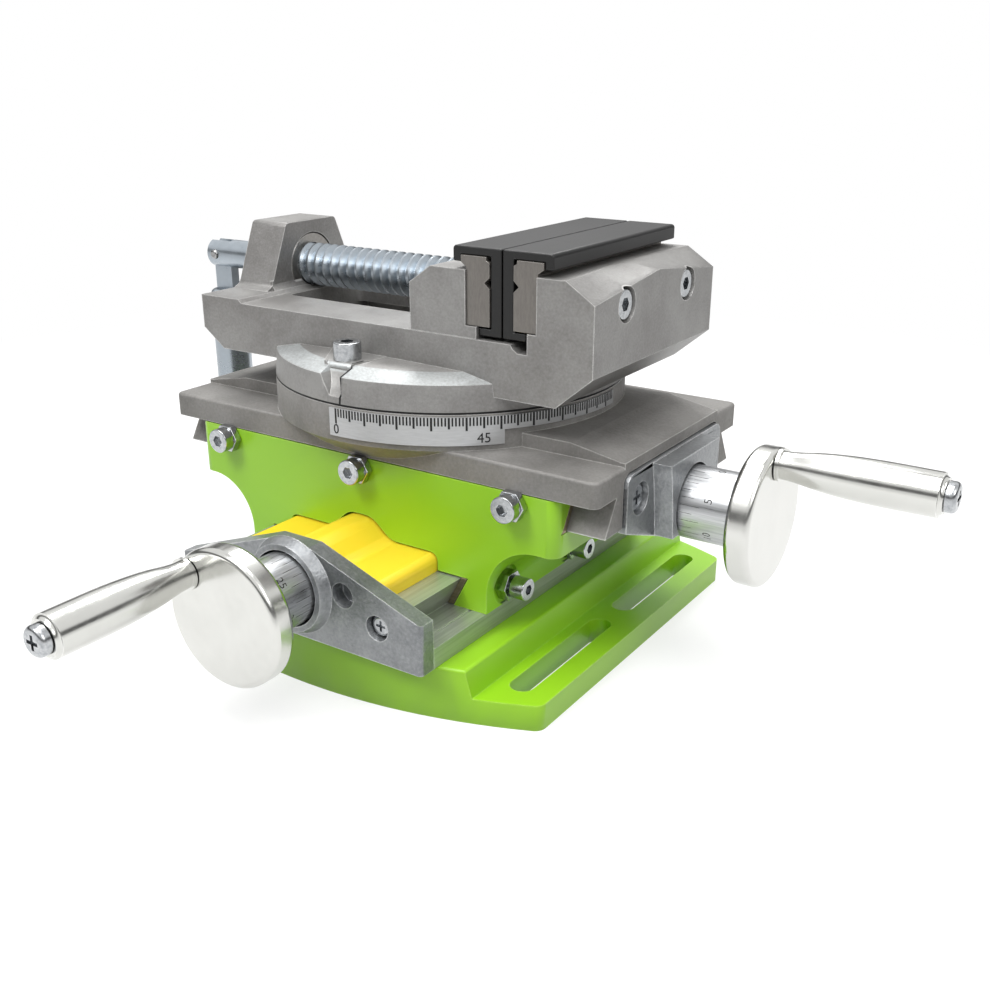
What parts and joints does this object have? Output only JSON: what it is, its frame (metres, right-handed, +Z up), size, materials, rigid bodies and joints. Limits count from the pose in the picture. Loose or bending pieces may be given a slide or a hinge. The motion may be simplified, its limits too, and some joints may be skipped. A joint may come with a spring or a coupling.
{
  "type": "cross slide vise",
  "caption": "Small drill press vise on a two-axis cross slide with a swivel base, graduated dials and crank handwheels, on a slotted base.",
  "frame": {"origin": "centre of the base's underside", "axes": "+Z up, +Y the saddle's travel away from the lower crank, +X the table's travel towards the upper crank"},
  "size_m": [0.2255, 0.1938, 0.1067],
  "materials": {
    "green_paint": "lime green enamel on cast iron, semi gloss",
    "rail_aluminium": "machined, fine lines along the travel",
    "yellow_paint": "yellow enamel on a pressed cover, smooth",
    "bracket_casting": "die cast, lightly blasted",
    "dial_metal": "turned and engraved",
    "polished_metal": "polished",
    "gib_brass": "milled strip",
    "nut_bronze": "cast and bored bronze",
    "bush_steel": "turned",
    "table_casting": "ground tops on a fine casting",
    "vise_casting": "ground faces on a fine casting",
    "scale_metal": "thin bright strip with black graduations",
    "jaw_steel": "hardened and ground",
    "black_pad": "moulded black cap",
    "zinc_screw": "zinc plated, bluish",
    "turned_steel": "turned steel",
    "fastener_steel": "zinc plated fasteners"
  },
  "bodies": {
    "root": {"base": "green_paint", "rail_screws": "fastener_steel", "lower_rail": "rail_aluminium", "screw_cover": "yellow_paint", "cover_screws": "fastener_steel", "lower_bracket": "bracket_casting", "lower_bracket_screws": "fastener_steel"},
    "lower_spindle": {"lower_lead_screw": "turned_steel", "lower_thrust_collar": "turned_steel", "lower_dial": "dial_metal", "lower_grub_screw": "fastener_steel", "lower_handwheel": "polished_metal", "lower_grip_screw": "fastener_steel"},
    "lower_grip": {"lower_crank_grip": "polished_metal"},
    "saddle": {"saddle": "green_paint", "lower_gib": "gib_brass", "upper_gib": "gib_brass", "front_gib_screws": "fastener_steel", "front_gib_nuts": "fastener_steel", "side_gib_screws": "fastener_steel", "side_gib_nuts": "fastener_steel", "cross_nut": "nut_bronze", "cross_nut_screws": "fastener_steel"},
    "table": {"table": "table_casting", "pivot_pin": "turned_steel", "scale_plate": "scale_metal", "upper_bracket": "bracket_casting", "upper_bracket_screws": "fastener_steel"},
    "upper_spindle": {"upper_lead_screw": "turned_steel", "upper_thrust_collar": "turned_steel", "upper_dial": "dial_metal", "upper_grub_screw": "fastener_steel", "upper_handwheel": "polished_metal", "upper_grip_screw": "fastener_steel"},
    "upper_grip": {"upper_crank_grip": "polished_metal"},
    "vise": {"vise_body": "vise_casting", "clamp_screws": "fastener_steel", "clamp_nuts": "turned_steel", "thread_bush": "bush_steel", "fixed_plate": "jaw_steel", "fixed_pad": "black_pad", "fixed_plate_screws": "fastener_steel"},
    "jaw": {"movable_jaw": "vise_casting", "movable_plate": "jaw_steel", "movable_pad": "black_pad", "movable_plate_screws": "fastener_steel", "jaw_keeper": "turned_steel", "keeper_screw": "fastener_steel", "jaw_pin": "turned_steel"},
    "vise_screw": {"vise_screw": "zinc_screw", "lever_pin": "turned_steel"},
    "lever": {"lever": "zinc_screw"}
  },
  "joints": [
    {"name": "y_slide", "type": "slide", "parent": "root", "child": "saddle", "axis": [0, 1, 0], "range_m": [-0.016, 0.016]},
    {"name": "x_slide", "type": "slide", "parent": "saddle", "child": "table", "axis": [1, 0, 0], "range_m": [-0.0065, 0.04]},
    {"name": "swivel", "type": "hinge", "parent": "table", "child": "vise", "pos_m": [0.0012, 0, 0.06835], "axis": [0, 0, 1], "range_deg": [-90, 90]},
    {"name": "jaw_slide", "type": "slide", "parent": "vise", "child": "jaw", "axis": [-1, 0, 0], "range_m": [0, 0.05]},
    {"name": "lower_spin", "type": "hinge", "parent": "root", "child": "lower_spindle", "pos_m": [0, -0.07, 0.0273], "axis": [0, 1, 0], "range_deg": [-3840.01, 3840.01]},
    {"name": "upper_spin", "type": "hinge", "parent": "table", "child": "upper_spindle", "pos_m": [0.08, 0, 0.04415], "axis": [1, 0, 0], "range_deg": [-1560.01, 9600.01]},
    {"name": "screw_spin", "type": "hinge", "parent": "jaw", "child": "vise_screw", "pos_m": [-0.03, 0, 0.0918], "axis": [1, 0, 0], "range_deg": [-6000.01, 0.01]},
    {"name": "lever_fold", "type": "hinge", "parent": "vise_screw", "child": "lever", "pos_m": [-0.084, 0, 0.0918], "axis": [0, 1, 0], "range_deg": [0, 90]},
    {"name": "lower_grip_spin", "type": "hinge", "parent": "lower_spindle", "child": "lower_grip", "pos_m": [-0.01026, -0.1, 0.03653], "axis": [0, 1, 0], "continuous": true},
    {"name": "upper_grip_spin", "type": "hinge", "parent": "upper_spindle", "child": "upper_grip", "pos_m": [0.11, -0.00024, 0.05795], "axis": [1, 0, 0], "continuous": true}
  ],
  "couplings": [
    {"joint": "lower_spin", "follows": "y_slide", "rad_per_m": 4188.8},
    {"joint": "upper_spin", "follows": "x_slide", "rad_per_m": 4188.8},
    {"joint": "screw_spin", "follows": "jaw_slide", "rad_per_m": -2094.4}
  ]
}
